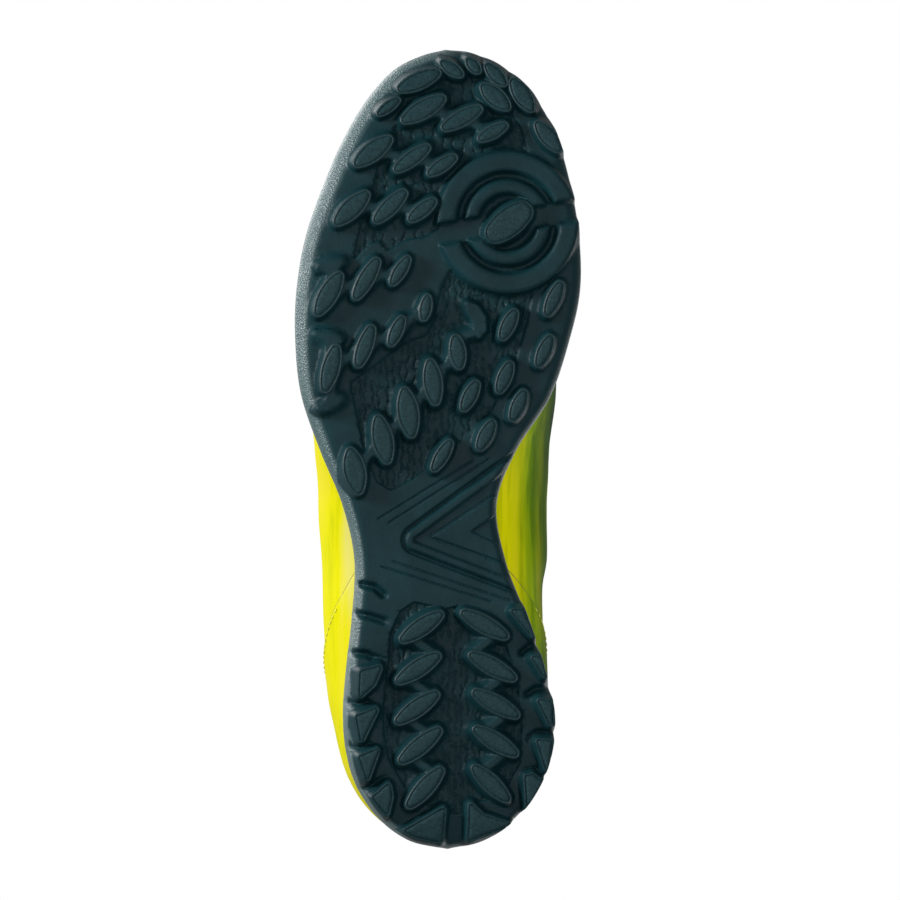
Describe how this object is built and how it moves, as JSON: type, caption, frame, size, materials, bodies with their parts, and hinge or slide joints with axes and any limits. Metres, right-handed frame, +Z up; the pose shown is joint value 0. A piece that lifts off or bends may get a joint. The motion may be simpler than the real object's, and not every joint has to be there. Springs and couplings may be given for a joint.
{
  "type": "turf soccer shoe",
  "caption": "Right low-cut turf soccer shoe: studded rubber cup sole with pivot rings and arch ribs, synthetic upper, padded collar, hinged tongue and tucked lace.",
  "frame": {"origin": "centre of the footprint of the whole shoe, on the flat ground plane that the stud tips stand on", "axes": "+Z up, +Y from toe to heel along the shoe, +X towards the medial (big toe) side of this right shoe"},
  "size_m": [0.1032, 0.29, 0.1048],
  "materials": {
    "outsole_rubber": "textured",
    "midsole_foam": "matte",
    "board": "matte",
    "sockliner_foam": "matte",
    "sockliner_cover": "woven",
    "upper_synthetic": "semi-matte",
    "overlay_synthetic": "semi-matte",
    "stiffener": "matte",
    "backing_foam": "matte",
    "lining_mesh": "woven",
    "tongue_fabric": "woven",
    "lace_cord": "woven"
  },
  "bodies": {
    "shoe": {"outsole": "outsole_rubber", "midsole": "midsole_foam", "lasting_board": "board", "sockliner_foam": "sockliner_foam", "sockliner_cover": "sockliner_cover", "vamp": "upper_synthetic", "quarter_lateral": "upper_synthetic", "quarter_medial": "upper_synthetic", "eyestay_lateral": "overlay_synthetic", "eyestay_medial": "overlay_synthetic", "heel_panel": "overlay_synthetic", "toe_puff": "stiffener", "heel_counter": "stiffener", "upper_backing": "backing_foam", "vamp_lining": "lining_mesh", "quarter_lining": "lining_mesh", "collar_padding": "backing_foam", "collar_lining": "lining_mesh", "lace": "lace_cord"},
    "tongue": {"tongue_shell": "tongue_fabric", "tongue_padding": "backing_foam", "tongue_lining": "lining_mesh"}
  },
  "joints": [
    {"name": "tongue_hinge", "type": "hinge", "parent": "shoe", "child": "tongue", "pos_m": [0.004, -0.074, 0.056], "axis": [1, 0, 0], "range_deg": [-12, 0]}
  ]
}
